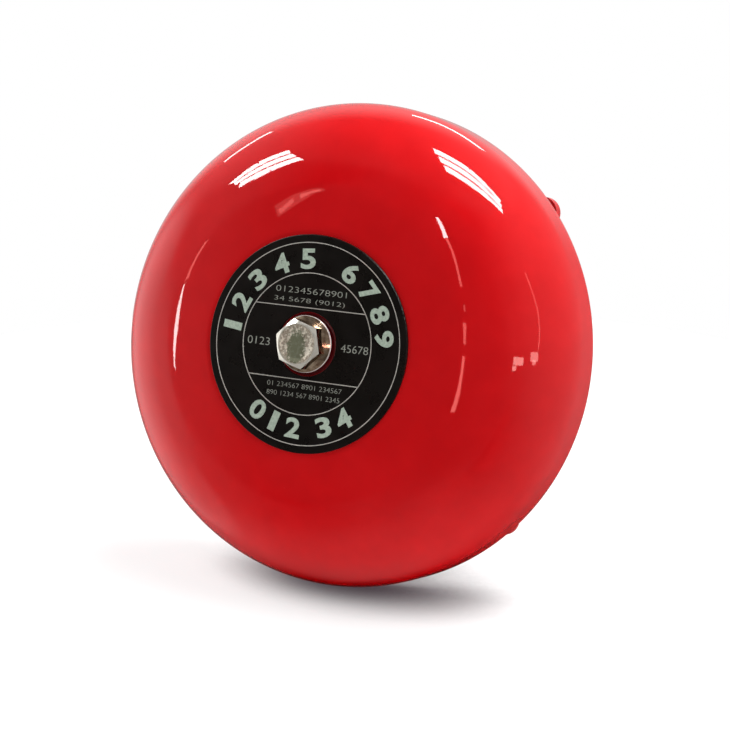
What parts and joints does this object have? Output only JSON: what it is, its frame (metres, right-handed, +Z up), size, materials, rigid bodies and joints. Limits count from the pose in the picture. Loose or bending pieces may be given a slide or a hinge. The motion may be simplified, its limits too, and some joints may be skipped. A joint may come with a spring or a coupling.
{
  "type": "fire alarm bell",
  "caption": "Wall-mounted motor bell: domed red gong with a round black dial and central hex bolt, over a cast base with ears, motor, cam and sprung striker.",
  "frame": {"origin": "centre of the base's rear face, on the wall", "axes": "+Z up, -Y out of the wall along the bell's axis towards the viewer, +X to the viewer's right"},
  "size_m": [0.15, 0.0646, 0.15],
  "materials": {
    "gong_enamel": "gloss red stove enamel on pressed steel",
    "base_enamel": "red paint on die-cast aluminium",
    "dial_black": "satin black printed aluminium",
    "bright_nickel": "bright nickel plate on steel",
    "zinc_steel": "zinc plated sheet and screws",
    "turned_steel": "turned bright steel",
    "spring_steel": "drawn spring wire",
    "brass": "turned brass",
    "copper_winding": "enamelled copper winding",
    "ferrite": "sintered ferrite",
    "black_rubber": "moulded rubber",
    "black_abs": "moulded black plastic, spark eroded texture",
    "white_acetal": "natural acetal",
    "green_board": "glass epoxy board with solder mask",
    "green_terminal": "moulded polyamide",
    "capacitor_sleeve": "shrunk sleeve",
    "diode_black": "moulded epoxy",
    "red_wire": "PVC insulation",
    "black_wire": "PVC insulation"
  },
  "bodies": {
    "base": {"base_casting": "base_enamel", "wall_gasket": "black_rubber", "cable_grommet": "black_rubber", "earth_washer": "brass", "earth_screw": "brass", "chassis_plate": "zinc_steel", "chassis_screws": "zinc_steel", "gong_post": "turned_steel", "lock_washer": "spring_steel", "seat_washer": "black_rubber", "motor_can": "turned_steel", "motor_magnets": "ferrite", "motor_end_cap": "white_acetal", "motor_terminals": "brass", "motor_bracket": "zinc_steel", "bracket_screws": "zinc_steel", "motor_screws": "zinc_steel", "striker_guide": "white_acetal", "guide_screws": "zinc_steel", "mechanism_cover": "black_abs", "cover_screws": "zinc_steel", "circuit_board": "green_board", "board_standoffs": "brass", "board_screws": "zinc_steel", "terminal_block": "green_terminal", "terminal_screws": "zinc_steel", "capacitor": "capacitor_sleeve", "diodes": "diode_black", "motor_lead_plus": "red_wire", "motor_lead_minus": "black_wire"},
    "rotor": {"motor_shaft": "turned_steel", "armature": "copper_winding", "commutator": "brass", "eccentric_cam": "brass", "cam_screw": "spring_steel"},
    "striker": {"striker_rod": "turned_steel", "follower": "white_acetal", "hammer_head": "brass", "return_spring": "spring_steel"},
    "gong": {"gong": "gong_enamel", "dial_plate": "dial_black"},
    "bolt_carrier": {"flange_washer": "zinc_steel"},
    "bolt": {"gong_bolt": "bright_nickel"}
  },
  "joints": [
    {"name": "rotor_spin", "type": "hinge", "parent": "base", "child": "rotor", "pos_m": [0, -0.022, -0.026], "axis": [0, 1, 0], "continuous": true},
    {"name": "striker_slide", "type": "slide", "parent": "base", "child": "striker", "axis": [0, 0, -1], "range_m": [0, 0.0029], "stiffness_N_per_m": 300, "springref_m": -0.002, "deforming": ["return_spring"]},
    {"name": "gong_pull", "type": "slide", "parent": "base", "child": "gong", "axis": [0, -1, 0], "range_m": [0, 0.06]},
    {"name": "bolt_rise", "type": "slide", "parent": "gong", "child": "bolt_carrier", "axis": [0, -1, 0], "range_m": [0, 0.01]},
    {"name": "bolt_turn", "type": "hinge", "parent": "bolt_carrier", "child": "bolt", "pos_m": [0, -0.058, 0], "axis": [0, -1, 0], "range_deg": [0, 2880]}
  ],
  "couplings": [
    {"joint": "bolt_rise", "follows": "bolt_turn", "m_per_rad": 0.00019894}
  ]
}
